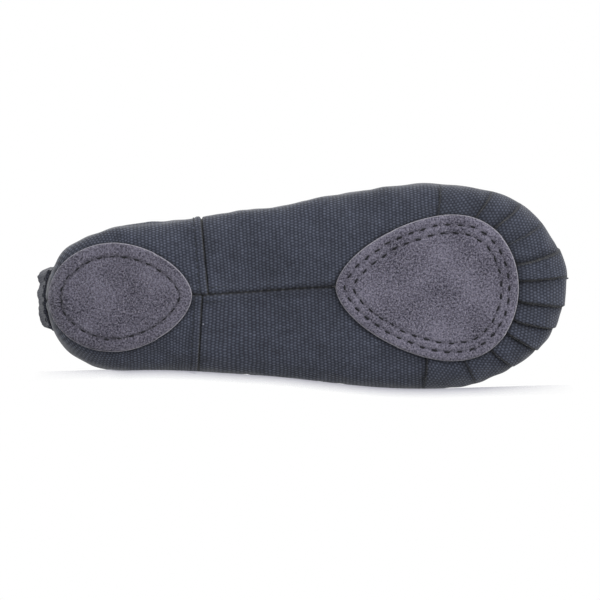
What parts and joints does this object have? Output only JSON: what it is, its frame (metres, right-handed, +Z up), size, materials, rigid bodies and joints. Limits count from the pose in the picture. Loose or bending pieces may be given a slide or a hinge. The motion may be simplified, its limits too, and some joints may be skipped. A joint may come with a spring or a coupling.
{
  "type": "ballet slipper",
  "caption": "Soft split-sole ballet slipper: canvas upper gathered on an elastic drawstring, suede sole patches at heel and forefoot, and an elastic instep strap.",
  "frame": {"origin": "on the floor, under the middle of the slipper's length and width, with the slipper standing on its two suede patches", "axes": "+X towards the toe, +Y towards the wearer's left, +Z up"},
  "size_m": [0.171, 0.0658, 0.045],
  "materials": {
    "canvas": "matte plain weave",
    "lining": "matte thin cotton",
    "binding": "matte bias strip, gathered",
    "elastic": "matte knitted elastic",
    "suede": "napped suede",
    "padding": "cloth-covered foam",
    "tape": "twill tape"
  },
  "bodies": {
    "forefoot": {"vamp_wing_left": "canvas", "vamp_wing_right": "canvas", "vamp_front": "canvas", "vamp_ball": "canvas", "lining_arch": "lining", "lining_front": "lining", "lining_ball": "lining", "binding_left": "binding", "binding_right": "binding", "binding_throat": "binding", "drawstring_left": "elastic", "drawstring_right": "elastic", "drawstring_throat": "elastic", "forefoot_patch": "suede", "forefoot_insole": "padding", "sole_seam_tape": "tape"},
    "heel": {"heel_quarter_left": "canvas", "heel_quarter_right": "canvas", "lining_heel": "lining", "binding_heel": "binding", "drawstring_heel": "elastic", "heel_patch": "suede", "heel_insole": "padding", "back_seam_tape": "tape"},
    "toe": {"vamp_toe": "canvas", "lining_toe": "lining"},
    "strap": {"instep_strap": "elastic"}
  },
  "joints": [
    {"name": "arch_flex", "type": "hinge", "parent": "forefoot", "child": "heel", "pos_m": [-0.01957, 0, 0.014], "axis": [0, -1, 0], "range_deg": [-25, 45], "stiffness_Nm_per_rad": 0.05, "deforming": ["vamp_wing_left", "vamp_wing_right", "lining_arch", "binding_left", "binding_right", "drawstring_left", "drawstring_right", "sole_seam_tape"]},
    {"name": "toe_flex", "type": "hinge", "parent": "forefoot", "child": "toe", "pos_m": [0.04148, 0, 0.008], "axis": [0, -1, 0], "range_deg": [-15, 40], "stiffness_Nm_per_rad": 0.03, "deforming": ["vamp_ball", "lining_ball", "forefoot_patch", "forefoot_insole"]},
    {"name": "strap_swing", "type": "hinge", "parent": "forefoot", "child": "strap", "pos_m": [-0.00152, 0, 0.022], "axis": [0, 1, 0], "range_deg": [-30, 30], "stiffness_Nm_per_rad": 0.004, "deforming": ["instep_strap"]}
  ]
}
